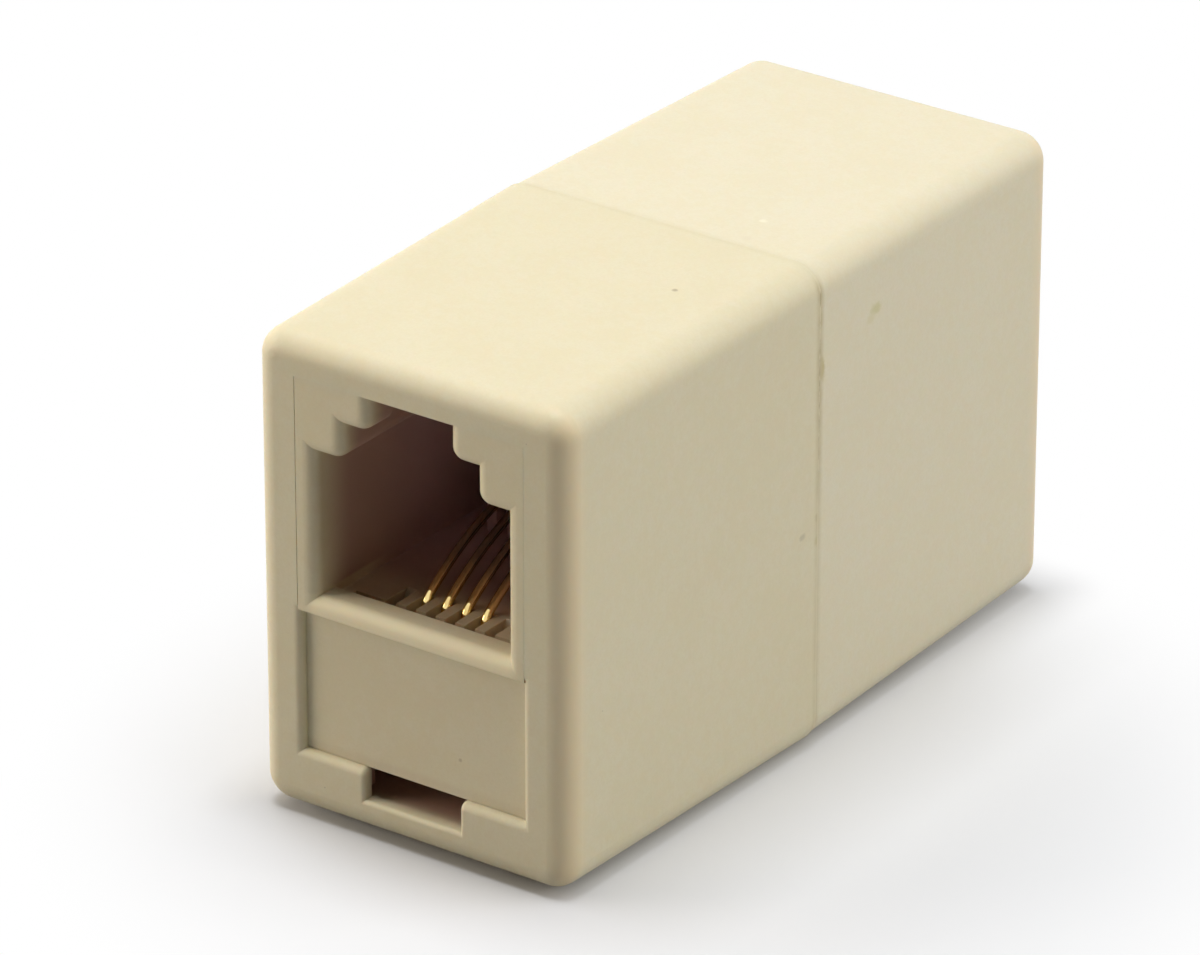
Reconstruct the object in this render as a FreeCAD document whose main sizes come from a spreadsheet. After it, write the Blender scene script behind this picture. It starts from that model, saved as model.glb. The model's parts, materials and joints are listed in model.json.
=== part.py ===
import FreeCAD, Part
import math
import os
import re
import Sketcher

# An in-line telephone coupler: two moulded half housings meet at a seam, and each holds a
# six-position socket insert with four spring contacts. Four short leads join the two sockets.
# Millimetres. X is the width, Y the length (the front socket opens toward -Y) and Z is up. The
# origin is below the middle, on the lowest line, which is the seam.
# Each half is drawn in its own frame: y = 0 is its end face, y grows inward, z = 0 is mid-height.

SIZES = {
    # Housing halves, outside
    "seam_width": "16.54",
    "seam_height": "22.52",
    "overall_length": "36.45",
    "seam_offset": "0.23",
    "draft_angle": "0.85",
    "corner_radius": "1.3",
    "rim_radius": "1.04",
    "seam_round": "0.12",
    "seam_step": "0.05",
    # Housing halves, inside
    "side_wall": "1.72",
    "top_wall": "1.98",
    "bottom_wall": "1.74",
    "front_wall": "1.56",
    "tongue_thickness": "0.78",
    "tongue_length": "1.56",
    "tongue_gap": "0.06",
    "notch_width": "4.97",
    "notch_wall": "0.54",
    "notch_relief": "0.6",
    "notch_round": "0.2",
    "frame_lap": "0.1",
    "recess_round": "0.34",
    "land_share": "0.6",
    "rib_width": "1.04",
    "rib_spacing": "8.53",
    "ledge_height": "0.94",
    "ledge_top": "0.42",
    "ledge_ramp": "2.08",
    # Socket insert
    "fit_gap": "0.035",
    "press_gap": "0.01",
    "jamb": "0.935",
    "back_wall": "1.56",
    "panel_height": "6.56",
    "recess_depth": "0.42",
    "chamber_wall": "1.09",
    "flange_length": "3.12",
    "flange_gap": "0.1",
    "flange_inset": "0.62",
    "hook_width": "3.95",
    "hook_depth": "3.54",
    "hook_length": "1.04",
    "hook_height": "0.78",
    # Socket opening
    "port_width": "9.8",
    "port_height": "6.67",
    "port_floor_drop": "0.69",
    "port_depth": "12.17",
    "port_round": "0.57",
    "wide_key_width": "6.76",
    "wide_key_height": "1.63",
    "narrow_key_width": "4.06",
    "key_round": "0.65",
    "mouth_share": "0.9",
    "catch_depth": "1.7",
    "bar_height": "0.84",
    "bar_depth": "1.35",
    "bar_round": "0.12",
    "floor_drop": "1.04",
    "rail_width": "0.52",
    "gutter_drop": "1.51",
    "underside_drop": "2.7",
    "slot_front": "2.13",
    "comb_length": "2.18",
    "comb_top": "3.33",
    # Spring contacts
    "contact_pitch": "1.02",
    "wire_diameter": "0.4",
    "wire_gap": "0.06",
    "hairpin_radius": "0.83",
    "hairpin_depth": "4.0",
    "hairpin_drop": "1.534",
    "rise_angle": "36",
    "spring_radius": "15.1",
    "tip_angle": "12",
    "tip_depth": "10.5",
    # Crimp splices and leads
    "crimp_diameter": "1.0",
    "crimp_length": "2.7",
    "crimp_gap": "0.02",
    "crimp_inset": "6.55",
    "crimp_stagger": "3.12",
    "trough_gap": "0.08",
    "strip_gap": "0.1",
    "lead_diameter": "0.92",
    "conductor_diameter": "0.4",
    "sag_angle": "50",
    "sag_end_radius": "1.66",
    "sag_middle_radius": "2.29",
}

# Places that follow from the sizes above
DERIVED = {
    "mid_height": "=seam_height / 2",
    "front_half": "=overall_length / 2 - seam_offset",
    "rear_half": "=overall_length / 2 + seam_offset",
    "front_taper": "=front_half * tan(draft_angle * 1 deg)",
    "rear_taper": "=rear_half * tan(draft_angle * 1 deg)",
    "insert_half_width": "=port_width / 2 + jamb",
    "insert_room": "=insert_half_width + fit_gap + 2 * flange_gap",
    "cavity_half_width": "=max(seam_width / 2 - side_wall; insert_room)",
    "cavity_top": "=max(seam_height / 2 - top_wall; wide_key_top + 2 * key_round)",
    "cavity_drop": "=max(seam_height / 2 - bottom_wall; window_drop + hook_height)",
    "recess_half_width": "=insert_half_width - frame_lap",
    "end_land": "=seam_width / 2 - seam_step - rear_taper - rim_radius - recess_half_width",
    "recess_rim_radius": "=min(recess_round; land_share * end_land)",
    "bar_bottom_drop": "=port_floor_drop + bar_height",
    "window_drop": "=bar_bottom_drop + panel_height",
    "insert_depth": "=port_depth + back_wall",
    "near_crimp_depth": "=insert_depth - crimp_inset",
    "port_top": "=port_height - port_floor_drop",
    "wide_key_top": "=port_top + wide_key_height",
    "mouth_radius": "=min(port_round; mouth_share * key_round)",
    "slot_width": "=wire_diameter + 2 * wire_gap",
    "nose_radius": "=hairpin_radius - wire_diameter / 2 - wire_gap / 2",
    "tail_drop": "=hairpin_drop + hairpin_radius",
    "trough_top_drop": "=tail_drop - crimp_diameter / 2 - trough_gap",
    "trough_half_width": "=1.5 * contact_pitch + crimp_diameter / 2 + trough_gap",
}

SLOT_COUNT = 6
CONTACT_COUNT = 4
LEAD_COLOURS = ("black", "red", "green", "yellow")
# Two lengths closer than this are the same when edges are picked, in millimetres
SAME_LENGTH = 0.001

doc = FreeCAD.newDocument("modular_coupler")
sheet = doc.addObject("Spreadsheet::Sheet", "sizes")
for row, (alias, content) in enumerate({**SIZES, **DERIVED}.items(), start=1):
    sheet.set("A%d" % row, alias)
    sheet.set("B%d" % row, content)
    sheet.setAlias("B%d" % row, alias)
doc.recompute()


def size(alias):
    """The number that the sheet holds under an alias."""
    return float(sheet.get(alias))


def bind(thing, path, text):
    """Bind one property of a document object to a formula of the sheet's aliases."""
    def named(match):
        word = match.group()
        return "sizes." + word if word in SIZES or word in DERIVED else word
    thing.setExpression(path, re.sub(r"[a-z_]+", named, text))


def new_body(label):
    """An empty body whose label names its file."""
    body = doc.addObject("PartDesign::Body", label)
    body.Label = label
    return body


def sketch_on(body, role, name, offset=None):
    """A sketch on one origin plane of the body, moved along the plane's normal."""
    planes = {feature.Role: feature for feature in body.Origin.OriginFeatures if hasattr(feature, "Role")}
    sketch = body.newObject("Sketcher::SketchObject", name)
    sketch.AttachmentSupport = [(planes[role], "")]
    sketch.MapMode = "FlatFace"
    if offset:
        bind(sketch, ".AttachmentOffset.Base.z", offset)
    return sketch


def facing(body, name, depth="0"):
    """A sketch parallel to the end face, at a depth behind it; it draws x across and z up."""
    return sketch_on(body, "XZ_Plane", name, "-(%s)" % depth)


def hold(sketch, kind, geometry, point, text):
    """Hold a point's distance from the sketch origin, DistanceX or DistanceY, at a formula."""
    drawn = sketch.getPoint(geometry, point)
    distance = drawn.x if kind == "DistanceX" else drawn.y
    index = sketch.addConstraint(Sketcher.Constraint(kind, -1, 1, geometry, point, distance))
    bind(sketch, "Constraints[%d]" % index, text)


def add_rectangle(sketch, left, right, bottom, top):
    """Draw a rectangle with each side held at its own formula."""
    corners = [FreeCAD.Vector(x, y, 0) for x, y in ((-1, -1), (1, -1), (1, 1), (-1, 1))]
    first = sketch.GeometryCount
    for start, end in zip(corners, corners[1:] + corners[:1]):
        sketch.addGeometry(Part.LineSegment(start, end))
    for side in range(4):
        following = first + (side + 1) % 4
        sketch.addConstraint(Sketcher.Constraint("Coincident", first + side, 2, following, 1))
        kind = "Horizontal" if side % 2 == 0 else "Vertical"
        sketch.addConstraint(Sketcher.Constraint(kind, first + side))
    hold(sketch, "DistanceX", first, 1, left)
    hold(sketch, "DistanceX", first, 2, right)
    hold(sketch, "DistanceY", first, 1, bottom)
    hold(sketch, "DistanceY", first + 2, 1, top)
    return sketch


def centred_rectangle(sketch, half_width, bottom, top):
    """A rectangle that lies evenly about the middle of the width."""
    return add_rectangle(sketch, "-(%s)" % half_width, half_width, bottom, top)


def add_circle(sketch, diameter, height="0"):
    """Draw a circle on the vertical axis of a sketch."""
    circle = sketch.addGeometry(Part.Circle(FreeCAD.Vector(0, 1, 0), FreeCAD.Vector(0, 0, 1), 1))
    index = sketch.addConstraint(Sketcher.Constraint("Diameter", circle, 2.0))
    bind(sketch, "Constraints[%d]" % index, diameter)
    hold(sketch, "DistanceX", circle, 3, "0")
    hold(sketch, "DistanceY", circle, 3, height)
    return sketch


def pad(body, sketch, name, length, inward=True):
    """Add material from a facing sketch, into the half or out of it."""
    feature = body.newObject("PartDesign::Pad", name)
    feature.Profile = sketch
    feature.Reversed = inward
    bind(feature, "Length", length)
    return feature


def pocket(body, sketch, name, depth, inward=True):
    """Cut material from a facing sketch, into the half or out of it."""
    before = body.Shape.Volume
    feature = body.newObject("PartDesign::Pocket", name)
    feature.Profile = sketch
    feature.Reversed = not inward
    bind(feature, "Length", depth)
    doc.recompute()
    if not body.Shape.Volume < before:
        raise RuntimeError("%s of %s cuts nothing" % (name, body.Label))
    return feature


def along_width(body, kind, sketch, name, width):
    """Add or cut a length-wise profile evenly about the middle of the width."""
    feature = body.newObject(kind, name)
    feature.Profile = sketch
    feature.Midplane = True
    bind(feature, "Length", width)
    doc.recompute()
    return feature


def round_edges(body, name, radius, wanted):
    """Round every edge of the body's latest shape that the test picks."""
    doc.recompute()
    base = body.Tip
    edges = base.Shape.Edges
    picked = ["Edge%d" % number for number, edge in enumerate(edges, start=1) if wanted(edge)]
    if not picked:
        raise RuntimeError("no edge for %s of %s" % (name, body.Label))
    feature = body.newObject("PartDesign::Fillet", name)
    feature.Base = (base, picked)
    bind(feature, "Radius", radius)
    doc.recompute()
    return feature


def near(first, second):
    """True for two lengths that are the same."""
    return abs(first - second) < SAME_LENGTH


def lies_at_depth(edge, depth):
    """True for an edge that lies wholly in the plane at a depth behind the end face."""
    box = edge.BoundBox
    return near(box.YMin, depth) and near(box.YMax, depth)


def runs_at(edge, half_width, height):
    """True for an edge that runs inward along a corner at a width and a height."""
    box = edge.BoundBox
    straight = near(box.XLength, 0) and near(box.ZLength, 0) and box.YLength > 0.1
    return straight and near(abs(box.XMin), half_width) and near(box.ZMin, height)


def seat(body, end, across="0"):
    """Place a body drawn in its half's frame into the front or the rear half."""
    bind(body, ".Placement.Base.z", "mid_height")
    if end == "front":
        bind(body, ".Placement.Base.x", across)
        bind(body, ".Placement.Base.y", "-overall_length / 2")
    else:
        body.Placement.Rotation = FreeCAD.Rotation(FreeCAD.Vector(0, 0, 1), 180)
        bind(body, ".Placement.Base.x", "-(%s)" % across)
        bind(body, ".Placement.Base.y", "overall_length / 2")


def make_housing(end):
    """One moulded half housing: a drafted box with a window, a seam joint and an insert seat."""
    body = new_body(end + "_housing")
    depth = end + "_half"
    step = "0" if end == "front" else "seam_step"

    # Drafted block, widest at the seam, with rounded edges
    block = body.newObject("PartDesign::AdditiveWedge", "block")
    taper = end + "_taper"
    bind(block, "Ymin", "0")
    bind(block, "Ymax", depth)
    for axis, across in (("X", "seam_width"), ("Z", "seam_height")):
        at_seam = "(%s / 2 - %s)" % (across, step)
        at_end = "(%s / 2 - %s - %s)" % (across, step, taper)
        bind(block, axis + "2min", "-" + at_seam)
        bind(block, axis + "2max", at_seam)
        bind(block, axis + "min", "-" + at_end)
        bind(block, axis + "max", at_end)
    seam = size(depth)
    round_edges(body, "long_edges", "corner_radius", lambda edge: edge.BoundBox.YLength > seam / 2)
    round_edges(body, "rim", "rim_radius", lambda edge: lies_at_depth(edge, 0))
    round_edges(body, "seam_edge", "seam_round", lambda edge: lies_at_depth(edge, seam))

    # Cavity, and the shallow recess in front of the insert's lower panel, with a rounded rim
    cavity = facing(body, "cavity_outline", depth)
    centred_rectangle(cavity, "cavity_half_width", "-cavity_drop", "cavity_top")
    pocket(body, cavity, "cavity", depth + " - front_wall", inward=False)
    recess = facing(body, "recess_outline")
    centred_rectangle(recess, "recess_half_width", "-window_drop", "-bar_bottom_drop")
    pocket(body, recess, "recess", "recess_depth")
    recess_half = size("recess_half_width")

    def on_recess_rim(edge):
        box = edge.BoundBox
        return lies_at_depth(edge, 0) and max(-box.XMin, box.XMax) < recess_half + SAME_LENGTH

    round_edges(body, "recess_rim", "recess_rim_radius", on_recess_rim)

    # Window for the insert, which is pressed against one side of it and up to the ceiling. The
    # recess's frame laps over the edge of the lower panel, which sits in a seat behind it.
    sides = ("-insert_half_width - fit_gap", "insert_half_width + press_gap")
    window = facing(body, "window_outline")
    add_rectangle(window, *sides, "-bar_bottom_drop - press_gap", "cavity_top")
    pocket(body, window, "window", "front_wall")
    panel_seat = facing(body, "panel_seat_outline", "recess_depth")
    add_rectangle(panel_seat, *sides, "-window_drop - fit_gap", "-bar_bottom_drop")
    pocket(body, panel_seat, "panel_seat", "front_wall - recess_depth")

    # Notch under the panel, with a wider way for the insert's hook behind it
    notch = facing(body, "notch_outline")
    centred_rectangle(notch, "notch_width / 2", "-cavity_drop", "-window_drop")
    pocket(body, notch, "notch", "front_wall")
    notch_half = size("notch_width") / 2
    notch_foot = -size("cavity_drop")

    def on_notch_rim(edge):
        box = edge.BoundBox
        upright = near(abs(box.XMin), notch_half) and near(box.XLength, 0)
        level = near(box.ZMin, notch_foot) and near(box.ZLength, 0)
        return lies_at_depth(edge, 0) and (upright or level)

    round_edges(body, "notch_rim", "notch_round", on_notch_rim)
    hook_way = facing(body, "hook_way_outline", "notch_wall")
    centred_rectangle(hook_way, "(notch_width / 2 + notch_relief)", "-cavity_drop", "-window_drop")
    pocket(body, hook_way, "hook_way", "front_wall - notch_wall")

    # Two ribs carry the insert, and a ramped ledge stops it from being pushed inward
    ribs = facing(body, "rib_outlines", "front_wall")
    for side in ("-1", "1"):
        middle = "%s * rib_spacing / 2" % side
        add_rectangle(ribs, "%s - rib_width / 2" % middle, "%s + rib_width / 2" % middle,
                      "-cavity_drop", "-window_drop")
    pad(body, ribs, "ribs", "insert_depth - front_wall")
    ledge = sketch_on(body, "YZ_Plane", "ledge_profile")
    front = "hook_depth + hook_length + fit_gap"
    top = "ledge_height - cavity_drop"
    add_polygon(ledge, ((front, "-cavity_drop"), (front, top), (front + " + ledge_top", top),
                        (front + " + ledge_top + ledge_ramp", "-cavity_drop")))
    along_width(body, "PartDesign::Pad", ledge, "ledge", "notch_width")

    # Seam joint: a tongue on the rear half enters a rebate in the front half
    joint = facing(body, "joint_outline", depth)
    if end == "front":
        reach = "(tongue_thickness + tongue_gap)"
        centred_rectangle(joint, "(cavity_half_width + %s)" % reach,
                          "-cavity_drop - %s" % reach, "cavity_top + %s" % reach)
        pocket(body, joint, "rebate", "tongue_length + tongue_gap", inward=False)
    else:
        centred_rectangle(joint, "(cavity_half_width + tongue_thickness)",
                          "-cavity_drop - tongue_thickness", "cavity_top + tongue_thickness")
        centred_rectangle(joint, "cavity_half_width", "-cavity_drop", "cavity_top")
        pad(body, joint, "tongue", "tongue_length")
    seat(body, end)
    return body


def add_polygon(sketch, points):
    """Draw a closed outline of straight lines with each corner held at two formulas."""
    count = len(points)
    for number in range(count):
        angle = 2 * math.pi * number / count
        following = 2 * math.pi * (number + 1) / count
        start = FreeCAD.Vector(math.cos(angle), math.sin(angle), 0)
        end = FreeCAD.Vector(math.cos(following), math.sin(following), 0)
        sketch.addGeometry(Part.LineSegment(start, end))
    for number, (depth, height) in enumerate(points):
        sketch.addConstraint(Sketcher.Constraint("Coincident", number, 2, (number + 1) % count, 1))
        hold(sketch, "DistanceX", number, 1, depth)
        hold(sketch, "DistanceY", number, 1, height)


def repeat_across(body, feature, sketch, name, count):
    """Repeat a feature along the width at the contact pitch."""
    pattern = body.newObject("PartDesign::LinearPattern", name)
    pattern.Originals = [feature]
    pattern.Direction = (sketch, ["H_Axis"])
    bind(pattern, "Length", "%d * contact_pitch" % (count - 1))
    pattern.Occurrences = count
    body.Tip = pattern
    doc.recompute()


def make_insert(end):
    """One moulded socket insert: port, latch key, wire slots, rear comb and lead chamber."""
    body = new_body(end + "_insert")

    # Upper block flush with the end face, lower block set back behind it
    upper = facing(body, "upper_outline")
    centred_rectangle(upper, "insert_half_width", "-bar_bottom_drop", "cavity_top")
    pad(body, upper, "upper_block", "insert_depth")
    lower = facing(body, "lower_outline", "recess_depth + press_gap")
    centred_rectangle(lower, "insert_half_width", "-window_drop", "-bar_bottom_drop")
    pad(body, lower, "lower_block", "insert_depth - recess_depth - press_gap")

    # Flange behind the housing's end wall and a hook in front of its ledge
    flange = facing(body, "flange_outline", "front_wall")
    centred_rectangle(flange, "(cavity_half_width - flange_gap)",
                      "-window_drop + flange_inset", "cavity_top - flange_inset")
    pad(body, flange, "flange", "flange_length")
    hook = facing(body, "hook_outline", "hook_depth")
    centred_rectangle(hook, "hook_width / 2", "-window_drop - hook_height", "-window_drop")
    pad(body, hook, "hook", "hook_length")
    doc.recompute()

    # Port with the two steps of the latch key; behind the catch the key is open to the top
    port = facing(body, "port_outline")
    centred_rectangle(port, "port_width / 2", "-port_floor_drop", "port_top")
    pocket(body, port, "port", "port_depth")
    wide_key = facing(body, "wide_key_outline")
    centred_rectangle(wide_key, "wide_key_width / 2", "port_top", "wide_key_top")
    pocket(body, wide_key, "wide_key", "port_depth")
    narrow_key = facing(body, "narrow_key_outline")
    centred_rectangle(narrow_key, "narrow_key_width / 2", "wide_key_top", "cavity_top")
    pocket(body, narrow_key, "narrow_key", "catch_depth")
    latch_room = facing(body, "latch_room_outline", "catch_depth")
    centred_rectangle(latch_room, "wide_key_width / 2", "wide_key_top", "cavity_top")
    pocket(body, latch_room, "latch_room", "port_depth - catch_depth")
    wide_half = size("wide_key_width") / 2
    narrow_half = size("narrow_key_width") / 2
    round_edges(body, "key_corners", "key_round", lambda edge: (
        runs_at(edge, wide_half, size("port_top")) or runs_at(edge, narrow_half, size("wide_key_top"))))
    port_half = size("port_width") / 2

    def on_port_mouth(edge):
        box = edge.BoundBox
        inside = max(-box.XMin, box.XMax) < port_half + SAME_LENGTH
        level = near(box.ZLength, 0) and near(box.ZMin, size("cavity_top"))
        foot = near(box.ZMin, -size("bar_bottom_drop"))
        return lies_at_depth(edge, 0) and inside and not level and not foot

    round_edges(body, "port_mouth", "mouth_radius", on_port_mouth)
    bar_foot = -size("bar_bottom_drop")
    round_edges(body, "bar_foot", "bar_round", lambda edge: (
        lies_at_depth(edge, 0) and near(edge.BoundBox.ZMin, bar_foot) and near(edge.BoundBox.ZLength, 0)))

    # Floor behind the bar: side rails, a gutter beside the wires and the wire slots
    floor = facing(body, "floor_outline", "bar_depth")
    centred_rectangle(floor, "port_width / 2", "-floor_drop", "-port_floor_drop")
    pocket(body, floor, "floor", "port_depth - bar_depth")
    gutter = facing(body, "gutter_outline", "bar_depth")
    centred_rectangle(gutter, "(port_width / 2 - rail_width)", "-gutter_drop", "-floor_drop")
    pocket(body, gutter, "gutter", "slot_front - bar_depth")
    add_wire_slots(body)

    # Lead chamber behind the lower panel, open to the inside, with a trough for the splices
    chamber = facing(body, "chamber_outline", "insert_depth")
    centred_rectangle(chamber, "(insert_half_width - chamber_wall)",
                      "-window_drop + chamber_wall", "-underside_drop")
    pocket(body, chamber, "chamber", "insert_depth - recess_depth - chamber_wall", inward=False)
    trough = facing(body, "trough_outline", "insert_depth")
    centred_rectangle(trough, "trough_half_width", "-underside_drop", "-trough_top_drop")
    pocket(body, trough, "trough", "insert_depth - near_crimp_depth + trough_gap", inward=False)

    # Rear comb: a row of fingers that keeps the contact tips apart
    finger = facing(body, "finger_outline", "port_depth")
    first = "-%d * contact_pitch" % (SLOT_COUNT // 2)
    half_finger = "(contact_pitch - slot_width) / 2"
    add_rectangle(finger, "%s - %s" % (first, half_finger), "%s + %s" % (first, half_finger),
                  "-floor_drop", "comb_top")
    fingers = pad(body, finger, "finger", "comb_length", inward=False)
    repeat_across(body, fingers, finger, "comb", SLOT_COUNT + 1)
    seat(body, end)
    return body


def add_wire_slots(body):
    """Cut the six slots that the contacts rise through, each with a rounded nose behind it.

    The slot runs from the gutter down past the nose and then inward under the floor plate.
    """
    profile = sketch_on(body, "YZ_Plane", "slot_profile", "-%g * contact_pitch" % ((SLOT_COUNT - 1) / 2))
    nose = size("nose_radius")
    centre = FreeCAD.Vector(size("hairpin_depth"), -size("hairpin_drop"), 0)
    lift = size("hairpin_drop") - size("floor_drop")
    crest = FreeCAD.Vector(centre.x - math.sqrt(nose ** 2 - lift ** 2), -size("floor_drop"), 0)
    foot = centre - FreeCAD.Vector(0, nose, 0)
    middle = centre - FreeCAD.Vector(nose, 0, 0)
    back = size("insert_depth")
    under = -size("underside_drop")
    front = size("slot_front")
    corners = [crest, FreeCAD.Vector(front, crest.y, 0), FreeCAD.Vector(front, under, 0),
               FreeCAD.Vector(back, under, 0), FreeCAD.Vector(back, foot.y, 0), foot]
    for start, end in zip(corners, corners[1:]):
        profile.addGeometry(Part.LineSegment(start, end))
    arc = profile.addGeometry(Part.Arc(foot, middle, crest))
    for line in range(4):
        profile.addConstraint(Sketcher.Constraint("Coincident", line, 2, line + 1, 1))
        kind = "Vertical" if line % 2 else "Horizontal"
        profile.addConstraint(Sketcher.Constraint(kind, line))
    starts_low = profile.getPoint(arc, 1).y < profile.getPoint(arc, 2).y
    low, high = (1, 2) if starts_low else (2, 1)
    profile.addConstraint(Sketcher.Constraint("Tangent", 4, 2, arc, low))
    profile.addConstraint(Sketcher.Constraint("Coincident", 0, 1, arc, high))
    profile.addConstraint(Sketcher.Constraint("Horizontal", 4))
    index = profile.addConstraint(Sketcher.Constraint("Radius", arc, nose))
    bind(profile, "Constraints[%d]" % index, "nose_radius")
    hold(profile, "DistanceX", arc, 3, "hairpin_depth")
    hold(profile, "DistanceY", arc, 3, "-hairpin_drop")
    hold(profile, "DistanceY", 0, 1, "-floor_drop")
    hold(profile, "DistanceX", 1, 1, "slot_front")
    hold(profile, "DistanceY", 1, 2, "-underside_drop")
    hold(profile, "DistanceX", 2, 2, "insert_depth")
    doc.recompute()
    before = body.Shape.Volume
    slot = along_width(body, "PartDesign::Pocket", profile, "slot", "slot_width")
    if not body.Shape.Volume < before:
        raise RuntimeError("the wire slots cut nothing")
    across = facing(body, "slot_row")
    repeat_across(body, slot, across, "slots", SLOT_COUNT)


def contact_place(number):
    """The place of a contact across its socket, as a formula."""
    return "%g * contact_pitch" % (number - (CONTACT_COUNT + 1) / 2)


def crimp_depth(number):
    """The depth of a contact's splice; neighbours are staggered so that they pass each other."""
    return "near_crimp_depth" if number % 2 else "(near_crimp_depth + crimp_stagger)"


def make_contact(end, number):
    """One spring contact: a round wire with a straight tail, a hairpin and a rising spring."""
    body = new_body("%s_contact_%d" % (end, number))
    tail_end = "%s + crimp_length / 2 - strip_gap" % crimp_depth(number)
    path = sketch_on(body, "YZ_Plane", "contact_path")
    rise = math.radians(size("rise_angle"))
    tip = math.radians(size("tip_angle"))
    hairpin = size("hairpin_radius")
    spring = size("spring_radius")

    def leftward(angle):
        """From the centre of a clockwise turn to the wire, where the wire heads at the angle."""
        return FreeCAD.Vector(-math.sin(angle), math.cos(angle), 0)

    centre = FreeCAD.Vector(size("hairpin_depth"), -size("hairpin_drop"), 0)
    bend_start = centre + leftward(math.pi) * hairpin
    bend_end = centre + leftward(rise) * hairpin
    spring_centre = bend_end - leftward(rise) * spring
    spring_end = spring_centre + leftward(tip) * spring
    reach = size("tip_depth") - spring_end.x
    end_point = spring_end + FreeCAD.Vector(reach, reach * math.tan(tip), 0)
    half_way = (rise + tip) / 2
    tail = path.addGeometry(Part.LineSegment(bend_start + FreeCAD.Vector(spring / 2, 0, 0), bend_start))
    bend = path.addGeometry(Part.Arc(bend_start, centre + leftward(math.pi / 2) * hairpin, bend_end))
    bow = path.addGeometry(Part.Arc(bend_end, spring_centre + leftward(half_way) * spring, spring_end))
    straight = path.addGeometry(Part.LineSegment(spring_end, end_point))

    # A clockwise arc is stored from its far end to its near end
    path.addConstraint(Sketcher.Constraint("Tangent", tail, 2, bend, 2))
    path.addConstraint(Sketcher.Constraint("Tangent", bend, 1, bow, 2))
    path.addConstraint(Sketcher.Constraint("Tangent", bow, 1, straight, 1))
    path.addConstraint(Sketcher.Constraint("Horizontal", tail))
    hold(path, "DistanceX", tail, 1, tail_end)
    hold(path, "DistanceX", bend, 3, "hairpin_depth")
    hold(path, "DistanceY", bend, 3, "-hairpin_drop")
    hold(path, "DistanceX", straight, 2, "tip_depth")
    for arc, radius in ((bend, "hairpin_radius"), (bow, "spring_radius")):
        index = path.addConstraint(Sketcher.Constraint("Radius", arc, size(radius)))
        bind(path, "Constraints[%d]" % index, radius)
    index = path.addConstraint(Sketcher.Constraint("Angle", bow, rise - tip))
    bind(path, "Constraints[%d]" % index, "(rise_angle - tip_angle) * 1 deg")
    index = path.addConstraint(Sketcher.Constraint("Angle", straight, tip))
    bind(path, "Constraints[%d]" % index, "tip_angle * 1 deg")

    section = add_circle(facing(body, "wire_section", tail_end), "wire_diameter", "-tail_drop")
    doc.recompute()
    wire = body.newObject("PartDesign::AdditivePipe", "wire")
    wire.Profile = section
    wire.Spine = (path, ["Edge%d" % edge for edge in range(1, 5)])
    seat(body, end, contact_place(number))
    return body


def make_crimp(end, number):
    """One crimp splice: a short metal barrel over a contact's tail and a lead's bare end."""
    body = new_body("%s_crimp_%d" % (end, number))
    outside = add_circle(facing(body, "barrel_outline", crimp_depth(number)), "crimp_diameter", "-tail_drop")
    pad(body, outside, "barrel", "crimp_length")
    doc.recompute()
    bore = facing(body, "bore_outline", crimp_depth(number))
    add_circle(bore, "wire_diameter + 2 * crimp_gap", "-tail_drop")
    pocket(body, bore, "bore", "crimp_length")
    seat(body, end, contact_place(number))
    return body


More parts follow.
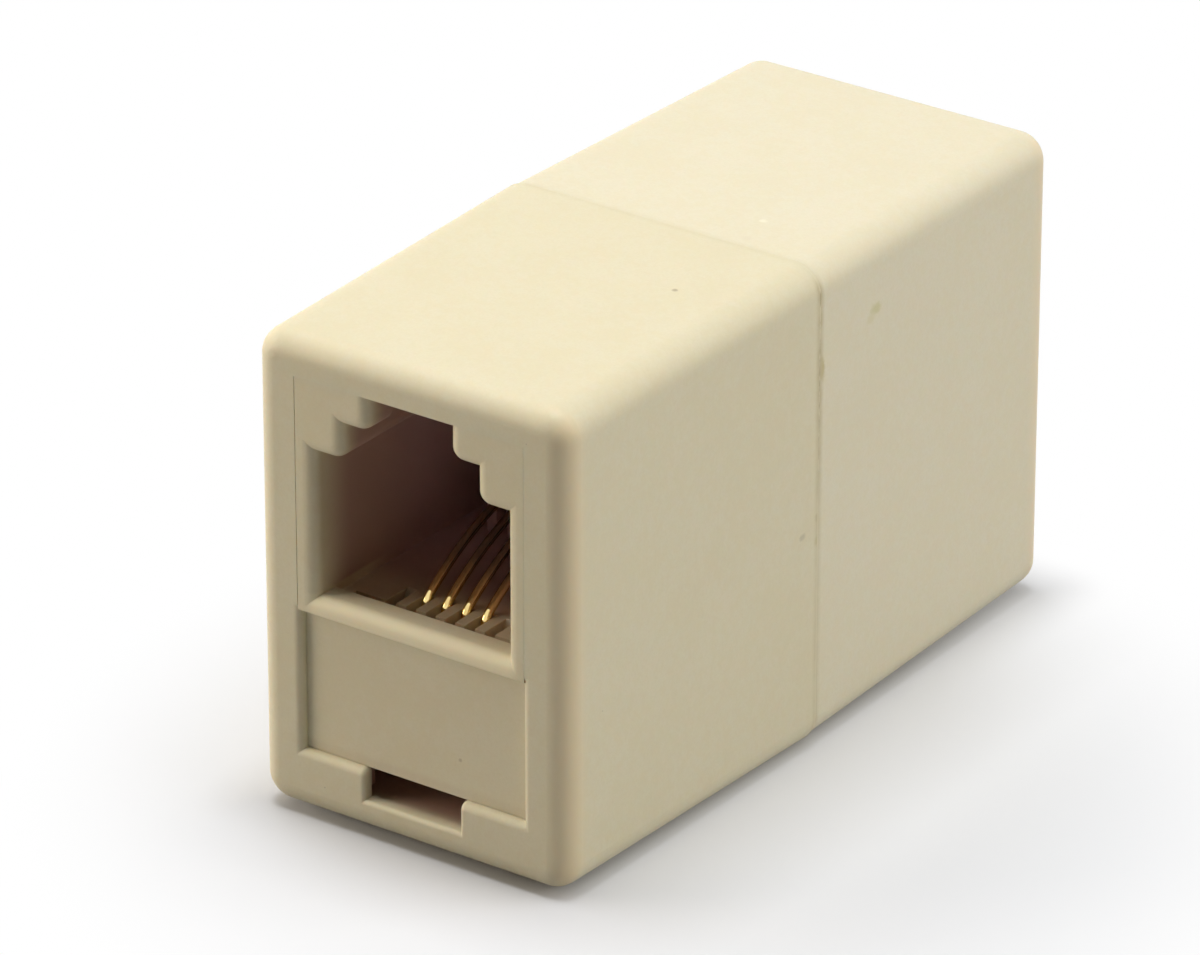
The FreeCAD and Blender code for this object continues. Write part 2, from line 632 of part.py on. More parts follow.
def make_lead(number):
    """One insulated lead that joins a front splice to the rear splice straight behind it.

    Its sag in the middle is three tangent arcs, and its bare ends enter the two splices.
    """
    body = new_body("lead_" + LEAD_COLOURS[number - 1])
    facing_number = CONTACT_COUNT + 1 - number
    front_splice = "(%s - overall_length / 2)" % crimp_depth(number)
    rear_splice = "(overall_length / 2 - %s)" % crimp_depth(facing_number)
    front_end = "(%s + crimp_length + strip_gap)" % front_splice
    rear_end = "(%s - crimp_length - strip_gap)" % rear_splice

    path = sketch_on(body, "YZ_Plane", "lead_path")
    angle = math.radians(size("sag_angle"))
    outer = size("sag_end_radius")
    inner = size("sag_middle_radius")
    height = -size("tail_drop")
    span = (outer + inner) * math.sin(angle)
    low = height - (outer + inner) * (1 - math.cos(angle)) + inner

    def turned(centre_y, centre_z, radius, heading):
        return FreeCAD.Vector(centre_y + radius * math.sin(heading), centre_z + radius * math.cos(heading), 0)

    entry = FreeCAD.Vector(-span, height, 0)
    leave = FreeCAD.Vector(span, height, 0)
    dip_start = turned(-span, height - outer, outer, angle)
    dip_end = turned(span, height - outer, outer, -angle)
    bottom = FreeCAD.Vector(0, low - inner, 0)
    first = path.addGeometry(Part.LineSegment(entry - FreeCAD.Vector(1, 0, 0), entry))
    fall = path.addGeometry(Part.Arc(entry, turned(-span, height - outer, outer, angle / 2), dip_start))
    dip = path.addGeometry(Part.Arc(dip_start, bottom, dip_end))
    climb = path.addGeometry(Part.Arc(dip_end, turned(span, height - outer, outer, -angle / 2), leave))
    last = path.addGeometry(Part.LineSegment(leave, leave + FreeCAD.Vector(1, 0, 0)))

    # The falling and climbing arcs turn clockwise and are stored from their far ends
    path.addConstraint(Sketcher.Constraint("Tangent", first, 2, fall, 2))
    path.addConstraint(Sketcher.Constraint("Tangent", fall, 1, dip, 1))
    path.addConstraint(Sketcher.Constraint("Tangent", dip, 2, climb, 2))
    path.addConstraint(Sketcher.Constraint("Tangent", climb, 1, last, 1))
    path.addConstraint(Sketcher.Constraint("Horizontal", first))
    path.addConstraint(Sketcher.Constraint("Horizontal", last))
    hold(path, "DistanceX", first, 1, front_end)
    hold(path, "DistanceY", first, 1, "-tail_drop")
    hold(path, "DistanceX", last, 2, rear_end)
    hold(path, "DistanceX", dip, 3, "0")
    for arc, radius in ((fall, "sag_end_radius"), (dip, "sag_middle_radius"), (climb, "sag_end_radius")):
        index = path.addConstraint(Sketcher.Constraint("Radius", arc, size(radius)))
        bind(path, "Constraints[%d]" % index, radius)
    index = path.addConstraint(Sketcher.Constraint("Angle", fall, angle))
    bind(path, "Constraints[%d]" % index, "sag_angle * 1 deg")

    section = add_circle(facing(body, "insulation_section", front_end), "lead_diameter", "-tail_drop")
    doc.recompute()
    insulation = body.newObject("PartDesign::AdditivePipe", "insulation")
    insulation.Profile = section
    insulation.Spine = (path, ["Edge%d" % edge for edge in range(1, 6)])
    doc.recompute()
    bare_length = "crimp_length / 2"
    for name, place, inward in (("front_strand", front_end, False), ("rear_strand", rear_end, True)):
        strand = add_circle(facing(body, name + "_section", place), "conductor_diameter", "-tail_drop")
        pad(body, strand, name, bare_length, inward)
    bind(body, ".Placement.Base.x", contact_place(number))
    bind(body, ".Placement.Base.z", "mid_height")
    return body


bodies = []
for half in ("front", "rear"):
    bodies.append(make_housing(half))
    bodies.append(make_insert(half))
    for contact in range(1, CONTACT_COUNT + 1):
        bodies.append(make_contact(half, contact))
        bodies.append(make_crimp(half, contact))
for contact in range(1, CONTACT_COUNT + 1):
    bodies.append(make_lead(contact))
doc.recompute()

for thing in doc.Objects:
    if "Invalid" in thing.State or "Error" in thing.State:
        raise RuntimeError("%s failed: %s" % (thing.Label, thing.State))
for body in bodies:
    if body.Shape.isNull() or not body.Shape.isValid() or len(body.Shape.Solids) != 1:
        raise RuntimeError("%s is not one valid solid" % body.Label)

os.makedirs("parts", exist_ok=True)
for body in bodies:
    body.Shape.exportStep("parts/%s.step" % body.Label)
    print("%s: %.3f mm3" % (body.Label, body.Shape.Volume))
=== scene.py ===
"""Looks for the in-line telephone coupler: ivory mouldings, gold contact wires, leads and a pale table."""

import json
import math

import bmesh
import bpy
import numpy as np
from mathutils import Matrix, Vector


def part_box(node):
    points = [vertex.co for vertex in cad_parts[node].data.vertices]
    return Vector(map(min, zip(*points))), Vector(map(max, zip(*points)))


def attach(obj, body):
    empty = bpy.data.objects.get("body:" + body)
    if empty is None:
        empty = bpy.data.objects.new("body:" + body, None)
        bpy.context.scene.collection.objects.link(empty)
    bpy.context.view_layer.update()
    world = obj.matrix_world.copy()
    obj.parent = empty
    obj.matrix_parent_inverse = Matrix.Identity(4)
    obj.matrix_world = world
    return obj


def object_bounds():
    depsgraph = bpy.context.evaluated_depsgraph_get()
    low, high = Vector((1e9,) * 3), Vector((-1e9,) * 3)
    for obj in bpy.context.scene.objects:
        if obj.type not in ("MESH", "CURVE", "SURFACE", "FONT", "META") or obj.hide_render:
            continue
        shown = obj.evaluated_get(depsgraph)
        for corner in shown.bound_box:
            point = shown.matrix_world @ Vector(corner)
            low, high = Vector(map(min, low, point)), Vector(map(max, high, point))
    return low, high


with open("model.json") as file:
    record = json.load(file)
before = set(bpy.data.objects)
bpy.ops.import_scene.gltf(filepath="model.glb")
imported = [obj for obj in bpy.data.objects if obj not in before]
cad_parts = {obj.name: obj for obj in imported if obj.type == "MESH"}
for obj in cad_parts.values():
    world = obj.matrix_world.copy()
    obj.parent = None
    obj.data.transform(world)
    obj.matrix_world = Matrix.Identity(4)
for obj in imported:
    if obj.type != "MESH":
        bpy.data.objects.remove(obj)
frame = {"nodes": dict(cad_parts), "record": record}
cad_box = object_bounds()

MM = 0.001
LOW = np.array(cad_box[0])
HIGH = np.array(cad_box[1])
MIDDLE = (LOW + HIGH) / 2
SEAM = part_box("front_housing")[1].y
TOP = HIGH[2]
RIGHT = HIGH[0]
WIRE_TIP = -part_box("front_contact_1")[0].y

# The photograph's frame and the camera that was fitted to the object's outline in it
PHOTO_WIDTH = 1200
SENSOR_WIDTH = 36.0
CAMERA_AZIMUTH = math.radians(35.43)
CAMERA_ELEVATION = math.radians(25.74)
CAMERA_ROLL = math.radians(0.022)
CAMERA_DISTANCE = 359.83 * MM
FOCAL_PIXELS = 8366.1
AIM_RIGHT = -2.682 * MM
AIM_UP = -0.789 * MM

# Soft boxes: where each stands, its size, its power in watts and its colour
SOFT_BOXES = {
    "top_light": ((-0.05, 0.0, 0.55), 0.25, 1.60, (0.98, 0.99, 1.0)),
    "upper_left": ((-0.35, 0.0, 0.40), 0.30, 0.31, (1.0, 1.0, 1.0)),
    "upper_right": ((0.22, 0.10, 0.50), 0.35, 0.77, (1.0, 1.0, 1.0)),
    "left_side": ((-0.48, 0.0, 0.08), 0.15, 0.70, (1.13, 1.02, 0.90)),
    "front_left": ((-0.15, -0.11, 0.05), 0.08, 0.094, (1.19, 1.03, 0.87)),
    "front_left_high": ((-0.13, -0.09, 0.14), 0.10, 0.083, (1.10, 1.01, 0.88)),
    "right_side": ((0.48, 0.08, 0.18), 0.25, 0.82, (1.04, 1.0, 0.95)),
    "back_right": ((0.20, 0.14, 0.14), 0.10, 0.096, (1.0, 1.0, 1.0)),
}
# The soft box that is shaded from the table, so that the table keeps the shadow in front of the object
SHADED_BOX = "front_left_high"
# The soft boxes that make no glare on the plastic and the wires
GLARE_FREE = ("left_side", "right_side", "back_right", "front_left_high")
# Where the shadow on the table is deepest; the table fades to plain white around it
SHADOW_MIDDLE = (6 * MM, -7 * MM, 0.0)
SHADOW_NEAR = 12 * MM
SHADOW_FAR = 29 * MM
TABLE_HALF = 600 * MM
# The table is white to the eye, but it throws back only this much light
TABLE_GREY = (0.35, 0.35, 0.35)

# Plastic and dirt colours
FRONT_IVORY = (0.737, 0.671, 0.47)
REAR_IVORY = (0.763, 0.70, 0.513)
INSERT_IVORY = (0.735, 0.66, 0.455)
DIRT = (0.16, 0.11, 0.05)
# How painted shade deep in the sockets, dirt at the seam, a painted highlight on the bar under a socket and
# painted warm shade on the right upright edges tint the plastic
SOCKET_SHADE_TINT = (0.66, 0.49, 0.55)
DEEP_SHADE_TINT = (0.80, 0.62, 0.88)
SEAM_TINT = (0.74, 0.69, 0.55)
BAR_HIGHLIGHT_TINT = (1.15, 1.15, 1.14)
EDGE_SHADE_TINT = (1.06, 0.98, 0.91)

# The skin above and below that stays free of painted shade, how far the painted shade reaches to each side,
# and half the port
UNSHADED_SKIN = 1.2 * MM
HALF_SHADE = 6.6 * MM
HALF_PORT = 4.9 * MM
# Heights inside a socket: the foot and the top of the bar, the lowest floor, the latch key and the notch
BAR_FOOT = 9.73 * MM
BAR_TOP = 10.57 * MM
SLOT_FLOOR = 8.8 * MM
KEY_FOOT = 17.1 * MM
NOTCH_TOP = 3.4 * MM

# Sizes of the pattern in the plastic
CLOUD_SIZE = 3.2 * MM
MOTTLE_SIZE = 0.45 * MM
GRAIN_SIZE = 0.13 * MM
INCLUSION_SPACING = 3.4 * MM

# The bead in the seam: the outline's corner radius, how deep its middle lies, and its half height and width
SEAM_CORNER = 1.3 * MM
BEAD_DEPTH = 0.075 * MM
BEAD_RISE = 0.045 * MM
BEAD_REACH = 0.07 * MM
ARC_STEPS = 13


class Tone:
    """One shader socket; the operators on values add Math nodes to its material."""

    def __init__(self, tree, socket):
        self.tree = tree
        self.socket = socket

    def node(self, kind, settings=None, output=0, **inputs):
        """Add a node: first its settings, then the values or links of its named sockets."""
        made = self.tree.nodes.new(kind)
        for name, value in (settings or {}).items():
            setattr(made, name, value)
        for name, value in inputs.items():
            key = int(name[1:]) if name[0] == "n" and name[1:].isdigit() else name.replace("_", " ")
            plug(self.tree, made.inputs[key], value)
        return Tone(self.tree, made.outputs[output])

    def math(self, operation, *others):
        """A Math node with this value first."""
        numbered = {"n%d" % (place + 1): value for place, value in enumerate(others)}
        return self.node("ShaderNodeMath", {"operation": operation}, n0=self, **numbered)

    def __add__(self, other):
        return self.math("ADD", other)

    __radd__ = __add__

    def __sub__(self, other):
        return self.math("SUBTRACT", other)

    def __rsub__(self, other):
        return self.node("ShaderNodeMath", {"operation": "SUBTRACT"}, n0=other, n1=self)

    def __mul__(self, other):
        return self.math("MULTIPLY", other)

    __rmul__ = __mul__

    def above(self, start, end):
        """0 below start, 1 past end, and a smooth rise between."""
        return self.node("ShaderNodeMapRange", {"interpolation_type": "SMOOTHSTEP"},
                         Value=self, From_Min=start, From_Max=end)

    def mix(self, first, second):
        """Blend two colours, with this value as the share of the second."""
        return self.node("ShaderNodeMix", {"data_type": "RGBA"}, output=2, n0=self, n6=first, n7=second)


def plug(tree, socket, value):
    """Link a tone to a socket, or set the socket to a plain value."""
    if isinstance(value, Tone):
        tree.links.new(value.socket, socket)
    elif isinstance(value, tuple) and len(value) == 3 and socket.type == "RGBA":
        socket.default_value = value + (1.0,)
    else:
        socket.default_value = value


def new_finish(name):
    """An empty material with its shader, and a tone for the object's own coordinates."""
    finish = bpy.data.materials.new(name)
    finish.use_nodes = True
    tree = finish.node_tree
    shader = tree.nodes["Principled BSDF"]
    place = tree.nodes.new("ShaderNodeTexCoord")
    return finish, shader, Tone(tree, place.outputs["Object"])


def noise(place, size, detail=3.0, roughness=0.5, stretch=(1.0, 1.0, 1.0)):
    """A noise value whose blotches are about as large as size, in metres."""
    scaled = place.node("ShaderNodeMapping", Vector=place, Scale=stretch)
    return place.node("ShaderNodeTexNoise", Vector=scaled, Scale=1.0 / size,
                      Detail=detail, Roughness=roughness)


def distance_to(place, point):
    """The distance from the surface to a point of the object, in metres."""
    return place.node("ShaderNodeVectorMath", {"operation": "DISTANCE"}, output="Value", n0=place, n1=point)


def distance_outside(place, half):
    """The distance from the surface to a box about the origin, given by its half sizes, in metres."""
    mirrored = place.node("ShaderNodeVectorMath", {"operation": "ABSOLUTE"}, n0=place)
    past = place.node("ShaderNodeVectorMath", {"operation": "SUBTRACT"}, n0=mirrored, n1=half)
    outside = place.node("ShaderNodeVectorMath", {"operation": "MAXIMUM"}, n0=past, n1=(0.0, 0.0, 0.0))
    return place.node("ShaderNodeVectorMath", {"operation": "LENGTH"}, output="Value", n0=outside)


def part_of(place, axis):
    """One coordinate of the surface, in metres."""
    return place.node("ShaderNodeSeparateXYZ", output=axis, Vector=place)


def depth_inside(place):
    """How far the surface lies behind the nearer end of the object, in metres."""
    return HIGH[1] - part_of(place, "Y").math("ABSOLUTE")


def spot(place, point, reach):
    """A soft uneven mark: 1 at its point and 0 past its reach along each axis."""
    offset = place.node("ShaderNodeVectorMath", {"operation": "SUBTRACT"}, n0=place, n1=point)
    shares = place.node("ShaderNodeVectorMath", {"operation": "DIVIDE"}, n0=offset, n1=reach)
    away = place.node("ShaderNodeVectorMath", {"operation": "LENGTH"}, output="Value", n0=shares)
    uneven = noise(place, 0.25 * MM) * 0.7 - 0.35
    return 1 - (away + uneven).above(0.3, 1.0)


def tinted(colour, red, green, blue):
    """A colour with each channel scaled."""
    return (colour[0] * red, colour[1] * green, colour[2] * blue)


def seam_dirt(place):
    """Dirt beside the seam: a soft broken band, strongest on the upper sides and faint on the top."""
    off = (part_of(place, "Y") - SEAM).math("ABSOLUTE")
    band = 1 - off.above(0.05 * MM, 0.42 * MM)
    height = part_of(place, "Z")
    on_side = 1 - height.above(TOP - 1.0 * MM, TOP - 0.3 * MM) * 0.8
    fade = height.above(8 * MM, 18 * MM) * 0.5 + 0.5
    broken = noise(place, 0.8 * MM).above(0.3, 0.65) * 0.4 + 0.6
    return band * on_side * fade * broken


def painted_socket_shade(place):
    """Painted shade: 1 on the walls deep in a socket or behind its notch, less on its floor where light
    falls, and 0 on the outside.
    """
    depth = depth_inside(place)
    within = 1 - part_of(place, "X").math("ABSOLUTE").above(HALF_SHADE, HALF_SHADE + 0.2 * MM)
    height = part_of(place, "Z")
    roof = TOP - UNSHADED_SKIN
    level = height.above(UNSHADED_SKIN, UNSHADED_SKIN + 0.3 * MM) - height.above(roof - 0.3 * MM, roof)
    floor = height.above(SLOT_FLOOR - 0.4 * MM, SLOT_FLOOR) - height.above(BAR_TOP, BAR_TOP + 0.2 * MM)
    # Less painted shade on the floor near the mouth, where light falls into the socket
    lit_floor = floor * (1 - depth.above(3.0 * MM, 5.5 * MM)) * 0.65
    slow = depth.above(0.35 * MM, 2.6 * MM)
    narrow = height.above(KEY_FOOT, KEY_FOOT + 0.4 * MM) + 1 - height.above(NOTCH_TOP, NOTCH_TOP + 0.4 * MM)
    rise = slow + (depth.above(0.15 * MM, 1.3 * MM) - slow) * narrow
    return rise * within * level * (1 - lit_floor)


def painted_bar_highlight(place):
    """Painted highlight: 1 on the front of the bar under a socket, which is lightened as if it caught more
    light from above, and 0 elsewhere.
    """
    depth = depth_inside(place)
    height = part_of(place, "Z")
    level = height.above(BAR_FOOT - 0.03 * MM, BAR_FOOT) - height.above(BAR_TOP, BAR_TOP + 0.2 * MM)
    within = 1 - part_of(place, "X").math("ABSOLUTE").above(HALF_PORT, HALF_PORT + 0.7 * MM)
    return level * within * (1 - depth.above(0.25 * MM, 0.7 * MM))


def painted_edge_shade(place):
    """Painted shade: 1 on the right upright edges of the two ends, where a warm brown shade marks the turn
    between front and side, and 0 elsewhere.
    """
    across = part_of(place, "X").above(RIGHT - 1.5 * MM, RIGHT - 0.5 * MM)
    along = part_of(place, "Y").math("ABSOLUTE").above(HIGH[1] - 1.7 * MM, HIGH[1] - 0.5 * MM)
    return across * along


def ivory(name, colour, marks=(), seam=False):
    """Satin ivory moulding: faint warm and pale clouds, fine grain, rare dark inclusions and its marks.

    Each mark is a point, its reach along each axis and the tint that its middle gives to the colour.
    """
    finish, shader, place = new_finish(name)
    tree = finish.node_tree
    clouds = noise(place, CLOUD_SIZE, 3.0, 0.55)
    grain = noise(place, GRAIN_SIZE, 2.0, 0.6)
    mottle = clouds * 0.5 + noise(place, MOTTLE_SIZE, 2.0, 0.6) * 0.5
    warm = tinted(colour, 0.992, 0.983, 0.955)
    pale = tinted(colour, 1.006, 1.013, 1.033)
    tone = mottle.above(0.38, 0.62).mix(warm, pale)
    tone = (grain.above(0.35, 0.75) * 0.4).mix(tone, tinted(colour, 0.94, 0.93, 0.90))
    cell = place.node("ShaderNodeTexVoronoi", output="Distance", Vector=place,
                      Scale=1.0 / INCLUSION_SPACING)
    inclusion = 1 - cell.above(0.006, 0.016)
    tone = (inclusion * 0.35).mix(tone, DIRT)
    for point, reach, tint in marks:
        tone = spot(place, point, reach).mix(tone, tinted(colour, *tint))
    if seam:
        tone = seam_dirt(place).mix(tone, tinted(colour, *SEAM_TINT))
        # Painted warm shade on the right upright edges, where the turn between front and side gets less
        # light
        tone = painted_edge_shade(place).mix(tone, tinted(colour, *EDGE_SHADE_TINT))
    else:
        # Painted highlight on the front of the bar under each socket
        tone = painted_bar_highlight(place).mix(tone, tinted(colour, *BAR_HIGHLIGHT_TINT))
    # Painted shade inside the sockets: browner, darker walls, a little lighter again the deeper they lie
    deep = depth_inside(place).above(3 * MM, 9 * MM)
    socket_shade_colour = deep.mix(tinted(colour, *SOCKET_SHADE_TINT), tinted(colour, *DEEP_SHADE_TINT))
    tone = painted_socket_shade(place).mix(tone, socket_shade_colour)
    plug(tree, shader.inputs["Base Color"], tone)
    plug(tree, shader.inputs["Roughness"], clouds * 0.10 + grain * 0.08 + 0.38)
    height = grain * 0.6 + clouds * 0.4
    bump = place.node("ShaderNodeBump", Height=height, Strength=0.08, Distance=0.02 * MM)
    plug(tree, shader.inputs["Normal"], bump)
    shader.inputs["IOR"].default_value = 1.5
    shader.inputs["Subsurface Weight"].default_value = 0.3
    shader.inputs["Subsurface Radius"].default_value = (1.0, 0.55, 0.3)
    shader.inputs["Subsurface Scale"].default_value = 0.35 * MM
    return finish


def gold_plate():
    """Bright gold plate on round spring wire, with drawn lines along it and painted shade behind its tip,
    where the wire turns dark brown deep in the dark socket.
    """
    finish, shader, place = new_finish("gold_plate")
    tree = finish.node_tree
    behind_tip = WIRE_TIP - part_of(place, "Y").math("ABSOLUTE")
    dull = noise(place, 0.9 * MM, 3.0, 0.6)
    drawn = noise(place, 0.6 * MM, 2.0, 0.5, (6.0, 1.0, 1.0))
    bright = dull.above(0.4, 0.7).mix((0.90, 0.71, 0.31), (0.78, 0.56, 0.22))
    # Painted shade: the wire darkens to brown behind its tip, deep in the socket
    painted_shade_behind_tip = behind_tip.above(0.4 * MM, 2.6 * MM) * (dull * 0.3 + 0.7)
    plug(tree, shader.inputs["Base Color"], painted_shade_behind_tip.mix(bright, (0.26, 0.20, 0.15)))
    plug(tree, shader.inputs["Roughness"], dull * 0.06 + drawn * 0.04 + painted_shade_behind_tip * 0.15 + 0.03)
    shader.inputs["Metallic"].default_value = 1.0
    bump = place.node("ShaderNodeBump", Height=drawn, Strength=0.4, Distance=0.01 * MM)
    plug(tree, shader.inputs["Normal"], bump)
    return finish


def tin_plate():
    """Dull tin plate on the crimp barrels, with greyer patches."""
    finish, shader, place = new_finish("tin_plate")
    tree = finish.node_tree
    patch = noise(place, 0.5 * MM, 3.0, 0.6)
    tin = patch.above(0.35, 0.7).mix((0.62, 0.59, 0.52), (0.45, 0.43, 0.38))
    plug(tree, shader.inputs["Base Color"], tin)
    plug(tree, shader.inputs["Roughness"], patch * 0.25 + 0.3)
    shader.inputs["Metallic"].default_value = 1.0
    return finish


def insulation(name, colour):
    """Smooth soft insulation of one colour, faintly uneven along its length."""
    finish, shader, place = new_finish("insulation_" + name)
    tree = finish.node_tree
    patch = noise(place, 1.2 * MM, 2.0)
    uneven = patch.above(0.35, 0.65).mix(colour, tinted(colour, 0.8, 0.8, 0.8))
    plug(tree, shader.inputs["Base Color"], uneven)
    plug(tree, shader.inputs["Roughness"], patch * 0.15 + 0.35)
    return finish


def mark_list(*marks):
    """Marks with their points and reaches turned from millimetres to metres."""
    return [(tuple(Vector(point) * MM), tuple(Vector(reach) * MM), tint) for point, reach, tint in marks]


def dress_all():
    """Every solid gets its finish: the two halves and the inserts by name, the rest by material slot."""
    front_marks = mark_list(((4.425, -5.46, 22.438), (0.18, 0.18, 0.3), (0.62, 0.58, 0.52)),
                            ((8.250, -1.405, 10.417), (0.4, 0.34, 0.22), (0.80, 0.79, 0.76)),
                            ((8.268, -0.312, 10.92), (0.4, 0.26, 0.34), (0.84, 0.81, 0.72)),
                            ((8.268, -0.312, 9.818), (0.4, 0.28, 0.36), (0.86, 0.84, 0.66)))
    # The first rear mark is a painted highlight: a pale glint where a small bump on the top catches the
    # light
    rear_marks = mark_list(((3.394, 2.530, 22.433), (0.26, 0.22, 0.3), (1.10, 1.12, 1.16)),
                           ((3.894, 0.575, 22.433), (0.34, 0.3, 0.4), (0.96, 0.95, 0.94)),
                           ((8.152, 4.127, 19.03), (0.5, 0.60, 0.38), (0.85, 0.85, 0.66)),
                           ((8.156, 3.720, 18.66), (0.5, 0.46, 0.30), (0.94, 0.93, 0.84)),
                           ((8.216, -0.060, 17.78), (0.5, 0.34, 0.80), (0.74, 0.69, 0.46)))
    panel_marks = mark_list(((2.244, -17.795, 4.922), (0.12, 0.2, 0.12), (0.75, 0.72, 0.68)))
    finishes = {"gold_plate": gold_plate(), "tinned_brass": tin_plate(),
                "lead_black": insulation("black", (0.02, 0.02, 0.02)),
                "lead_red": insulation("red", (0.5, 0.03, 0.025)),
                "lead_green": insulation("green", (0.03, 0.24, 0.07)),
                "lead_yellow": insulation("yellow", (0.72, 0.5, 0.04))}
    mouldings = {"front_housing": ivory("front_ivory", FRONT_IVORY, front_marks, True),
                 "rear_housing": ivory("rear_ivory", REAR_IVORY, rear_marks, True),
                 "front_insert": ivory("front_insert_ivory", INSERT_IVORY, panel_marks),
                 "rear_insert": ivory("rear_insert_ivory", INSERT_IVORY)}
    for entry in frame["record"]["subparts"]:
        node = entry["node"]
        data = frame["nodes"][node].data
        data.materials.clear()
        data.materials.append(mouldings.get(node) or finishes[entry["material_slot"]])


def grid_mesh(name, points):
    """A mesh from a grid of points: neighbours along both directions are joined into quads."""
    rows, columns = points.shape[:2]
    corner = np.arange(rows * columns).reshape(rows, columns)
    quads = np.stack([corner[:-1, :-1], corner[1:, :-1], corner[1:, 1:], corner[:-1, 1:]], axis=-1)
    mesh = bpy.data.meshes.new(name)
    mesh.from_pydata(points.reshape(-1, 3).tolist(), [], quads.reshape(-1, 4).tolist())
    thing = bpy.data.objects.new(name, mesh)
    bpy.context.scene.collection.objects.link(thing)
    return thing


def close_up(thing):
    """Join the grid's meeting edges and turn its faces outwards."""
    shape = bmesh.new()
    shape.from_mesh(thing.data)
    bmesh.ops.remove_doubles(shape, verts=shape.verts, dist=0.0001 * MM)
    bmesh.ops.recalc_face_normals(shape, faces=shape.faces)
    shape.to_mesh(thing.data)
    shape.free()
    thing.data.polygons.foreach_set("use_smooth", np.ones(len(thing.data.polygons), dtype=bool))


def rounded_outline(half_width, half_height, radius, steps):
    """A closed rounded rectangle as points across and up, with their outward directions.

    Each corner is an arc of steps points from its centre plus radius times (cos, sin); the straight
    sides are the spans between the arcs.
    """
    turn = np.linspace(0, math.pi / 2, steps)
    angle = np.concatenate([turn + quarter * math.pi / 2 for quarter in range(4)])
    outward = np.stack([np.cos(angle), np.sin(angle)], axis=-1)
    side = np.repeat([[1, 1], [-1, 1], [-1, -1], [1, -1]], steps, axis=0)
    centre = side * np.array([half_width - radius, half_height - radius])
    return centre + radius * outward, outward


def seam_glue():
    """The bead of glue in the seam: a small ellipse carried round the seam's rounded outline.

    Round the outline, point = outline - inset * outward; the section is inset = depth - rise * sin(t)
    and y = seam + reach * cos(t), with t a full turn, so the bead is one closed ring.
    """
    low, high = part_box("front_housing")
    half_width = (high.x - low.x) / 2
    half_height = (high.z - low.z) / 2
    outline, outward = rounded_outline(half_width, half_height, SEAM_CORNER, ARC_STEPS)
    outline = np.concatenate([outline, outline[:1]])
    outward = np.concatenate([outward, outward[:1]])
    turn = np.linspace(0, 2 * math.pi, ARC_STEPS)
    inset = BEAD_DEPTH - BEAD_RISE * np.sin(turn)
    ring = outline[:, None] - inset[None, :, None] * outward[:, None]
    along = np.broadcast_to(SEAM + BEAD_REACH * np.cos(turn), ring.shape[:2])
    points = np.stack([ring[..., 0] + MIDDLE[0], along, ring[..., 1] + (low.z + high.z) / 2], axis=-1)
    bead = grid_mesh("seam_glue", points)
    close_up(bead)
    finish, shader, place = new_finish("seam_glue_brown")
    tree = finish.node_tree
    patch = noise(place, 0.7 * MM, 3.0, 0.6)
    height = part_of(place, "Z")
    upper_sides = height.above(9 * MM, 18 * MM) - height.above(TOP - 1.2 * MM, TOP - 0.5 * MM)
    old = upper_sides * patch.above(0.35, 0.6)
    plug(tree, shader.inputs["Base Color"], old.mix((0.71, 0.635, 0.43), (0.46, 0.38, 0.22)))
    plug(tree, shader.inputs["Roughness"], patch * 0.2 + 0.4)
    bead.data.materials.append(finish)
    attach(bead, "root")


def seen_directly(tree):
    """1 for rays of the camera, of a mirror image or through something clear, and 0 for light."""
    rays = tree.nodes.new("ShaderNodeLightPath")
    seen = Tone(tree, rays.outputs["Is Camera Ray"])
    for ray in ("Is Glossy Ray", "Is Transmission Ray"):
        seen = seen.math("MAXIMUM", Tone(tree, rays.outputs[ray]))
    return seen


def table_top():
    """A flat pale table: x and y run over a square grid and z is the underside's height."""
    line = np.linspace(-TABLE_HALF, TABLE_HALF, 9)
    across, along = np.meshgrid(line, line)
    table = grid_mesh("table_top", np.stack([across, -along, np.full_like(across, LOW[2])], axis=-1))
    finish, shader, place = new_finish("table_white")
    tree = finish.node_tree
    seen = seen_directly(tree)
    paper = noise(place, 20 * MM).mix((0.805, 0.815, 0.84), (0.825, 0.835, 0.86))
    plug(tree, shader.inputs["Base Color"], seen.mix(TABLE_GREY, paper))
    shader.inputs["Roughness"].default_value = 0.75
    table.data.materials.append(finish)
    # Away from the object the camera sees plain white, close to it the table with its shadow
    clear = distance_outside(place, (RIGHT, HIGH[1], 0.0)).above(-1.0 * MM, 3.0 * MM)
    away = distance_to(place, SHADOW_MIDDLE).above(SHADOW_NEAR, SHADOW_FAR) * clear
    white = place.node("ShaderNodeEmission", Color=(1.0, 1.0, 1.0), Strength=1.0)
    table_shader = Tone(tree, shader.outputs["BSDF"])
    mixed = place.node("ShaderNodeMixShader", n0=away * seen, n1=table_shader, n2=white)
    plug(tree, tree.nodes["Material Output"].inputs["Surface"], mixed)
    return table


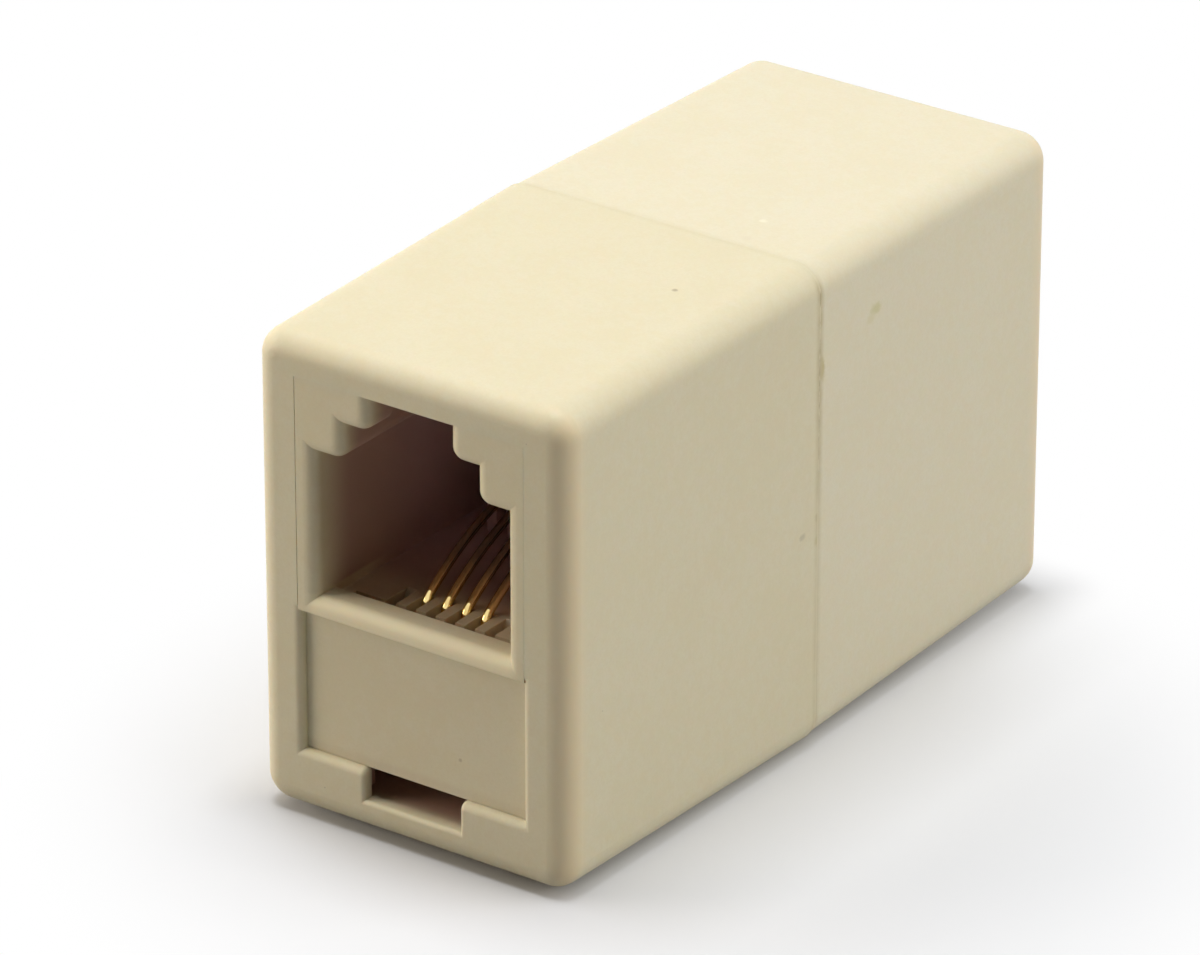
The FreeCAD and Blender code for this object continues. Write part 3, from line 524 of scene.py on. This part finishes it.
def soft_box(name, place, size, power, colour):
    """A square soft light at a place, turned to the middle of the object."""
    data = bpy.data.lights.new(name, "AREA")
    data.size = size
    data.energy = power
    data.color = colour
    lamp = bpy.data.objects.new(name, data)
    lamp.location = place
    lamp.rotation_euler = (Vector(MIDDLE) - Vector(place)).to_track_quat("-Z", "Y").to_euler()
    bpy.context.scene.collection.objects.link(lamp)
    return lamp


def light_studio(table):
    """The soft boxes, and a plain room that is white to the eye and in mirror images only."""
    lamps = {name: soft_box(name, *settings) for name, settings in SOFT_BOXES.items()}
    for name in GLARE_FREE:
        lamps[name].visible_glossy = False
    shaded = bpy.data.collections.new("shaded_from_" + SHADED_BOX)
    shaded.objects.link(table)
    shaded.collection_objects[0].light_linking.link_state = "EXCLUDE"
    lamps[SHADED_BOX].light_linking.receiver_collection = shaded
    world = bpy.data.worlds.new("room")
    world.use_nodes = True
    bpy.context.scene.world = world
    tree = world.node_tree
    room = tree.nodes["Background"]
    room.inputs["Color"].default_value = (1.0, 1.0, 1.0, 1.0)
    plug(tree, room.inputs["Strength"], seen_directly(tree))


def place_camera():
    """The camera at the photograph's viewing angle, with a long lens as in the photograph."""
    back = Vector((math.sin(CAMERA_AZIMUTH) * math.cos(CAMERA_ELEVATION),
                   -math.cos(CAMERA_AZIMUTH) * math.cos(CAMERA_ELEVATION), math.sin(CAMERA_ELEVATION)))
    level = Vector((math.cos(CAMERA_AZIMUTH), math.sin(CAMERA_AZIMUTH), 0.0))
    upright = back.cross(level)
    right = level * math.cos(CAMERA_ROLL) + upright * math.sin(CAMERA_ROLL)
    up = upright * math.cos(CAMERA_ROLL) - level * math.sin(CAMERA_ROLL)
    aim = Vector(MIDDLE) + right * AIM_RIGHT + up * AIM_UP
    data = bpy.data.cameras.new("camera")
    data.sensor_width = SENSOR_WIDTH
    data.sensor_fit = "HORIZONTAL"
    data.lens = FOCAL_PIXELS * SENSOR_WIDTH / PHOTO_WIDTH
    data.clip_start = 1 * MM
    camera = bpy.data.objects.new("camera", data)
    turn = Matrix((right, up, back)).transposed().to_4x4()
    camera.matrix_world = Matrix.Translation(aim + back * CAMERA_DISTANCE) @ turn
    bpy.context.scene.collection.objects.link(camera)
    bpy.context.scene.camera = camera


bpy.context.scene.view_settings.view_transform = "Standard"
dress_all()
seam_glue()
light_studio(table_top())
place_camera()
